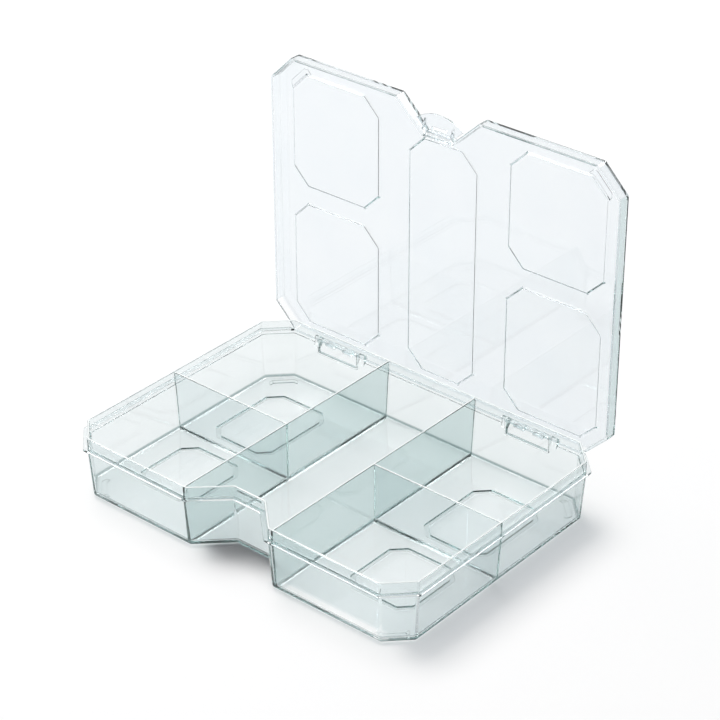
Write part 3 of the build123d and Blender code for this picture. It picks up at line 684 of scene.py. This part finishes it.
above = directional((-0.65, 0.76, 0.0), 0.10, 0.95)
below = directional((-0.70, -0.71, 0.0), 0.25, 0.78)
sep = nt.nodes.new("ShaderNodeSeparateXYZ")
split = nt.nodes.new("ShaderNodeMapRange")
split.interpolation_type = "SMOOTHSTEP"
split.inputs["From Min"].default_value = -0.08
split.inputs["From Max"].default_value = 0.08
mix = nt.nodes.new("ShaderNodeMix")
nt.links.new(coord.outputs["Generated"], sep.inputs["Vector"])
nt.links.new(sep.outputs["Z"], split.inputs["Value"])
nt.links.new(split.outputs["Result"], mix.inputs["Factor"])
nt.links.new(below, mix.inputs["A"])
nt.links.new(above, mix.inputs["B"])
nt.links.new(mix.outputs["Result"], bg.inputs["Color"])
# two small bright softboxes overhead, placed where only rounded edges mirror them
glow = None
for aim, inner_deg, outer_deg, gain in (((0.165, 0.654, 0.738), 8, 18, 12.0), ((-0.557, -0.390, 0.733), 7, 15, 14.0)):
    toward = nt.nodes.new("ShaderNodeVectorMath")
    toward.operation = "DOT_PRODUCT"
    toward.inputs[1].default_value = Vector(aim).normalized()
    patch = nt.nodes.new("ShaderNodeMapRange")
    patch.interpolation_type = "SMOOTHSTEP"
    patch.inputs["From Min"].default_value = math.cos(math.radians(outer_deg))
    patch.inputs["From Max"].default_value = math.cos(math.radians(inner_deg))
    patch.inputs["To Min"].default_value = 0.5
    patch.inputs["To Max"].default_value = gain
    nt.links.new(coord.outputs["Generated"], toward.inputs[0])
    nt.links.new(toward.outputs["Value"], patch.inputs["Value"])
    if glow is None:
        glow = patch.outputs["Result"]
    else:
        both = nt.nodes.new("ShaderNodeMath")
        nt.links.new(glow, both.inputs[0])
        nt.links.new(patch.outputs["Result"], both.inputs[1])
        glow = both.outputs["Value"]
nt.links.new(glow, bg.inputs["Strength"])
world.cycles.sampling_method = "NONE"
world.cycles_visibility.diffuse = False      # the two softboxes light the paper, the world is what the plastic mirrors


def softbox(name, size, watts, where):
    """Square area light aimed at the origin."""
    lamp = bpy.data.lights.new(name, "AREA")
    lamp.shape, lamp.size, lamp.energy = "SQUARE", size, watts
    lamp.cycles.use_multiple_importance_sampling = False
    obj = bpy.data.objects.new(name, lamp)
    obj.location = where
    obj.rotation_mode = "QUATERNION"
    obj.rotation_quaternion = Vector(where).to_track_quat("Z", "Y")
    obj.visible_transmission = False
    scene.collection.objects.link(obj)
    return obj


softbox("key", 1.7, 92.0, (-1.50, 0.42, 3.15))
softbox("fill", 5.0, 72.0, (0.0, 0.0, 2.6))

# ----------------------------------------------------------------------- camera
yaw, pitch, roll = math.radians(40.388), math.radians(30.784), math.radians(-0.177)
level = Vector((-math.sin(yaw), math.cos(yaw), 0))
side = Vector((math.cos(yaw), math.sin(yaw), 0))
up = Vector((0, 0, 1))
forward = level * math.cos(pitch) - up * math.sin(pitch)
over = level * math.sin(pitch) + up * math.cos(pitch)
right = side * math.cos(roll) + over * math.sin(roll)
top = -side * math.sin(roll) + over * math.cos(roll)
cam_data = bpy.data.cameras.new("camera")
cam_data.sensor_fit = "HORIZONTAL"
cam_data.sensor_width = 36.0
cam_data.lens = 2427.431 * 36.0 / 720.0
cam_data.clip_start, cam_data.clip_end = 0.05, 60.0
camera = bpy.data.objects.new("camera", cam_data)
scene.collection.objects.link(camera)
turn = Matrix((right, top, -forward)).transposed().to_4x4()
camera.matrix_world = Matrix.Translation(Vector((620.214, -712.528, 637.767)) * MM) @ turn
scene.camera = camera

# ---------------------------------------------------------------- render choices
scene.view_settings.view_transform = "Standard"
scene.cycles.use_denoising = True
scene.cycles.max_bounces = 40
scene.cycles.transmission_bounces = 32
scene.cycles.transparent_max_bounces = 32
scene.cycles.glossy_bounces = 32        # light guided along the walls turns many times
scene.cycles.diffuse_bounces = 2
scene.cycles.caustics_refractive = False
scene.cycles.caustics_reflective = False
scene.cycles.sample_clamp_indirect = 20.0
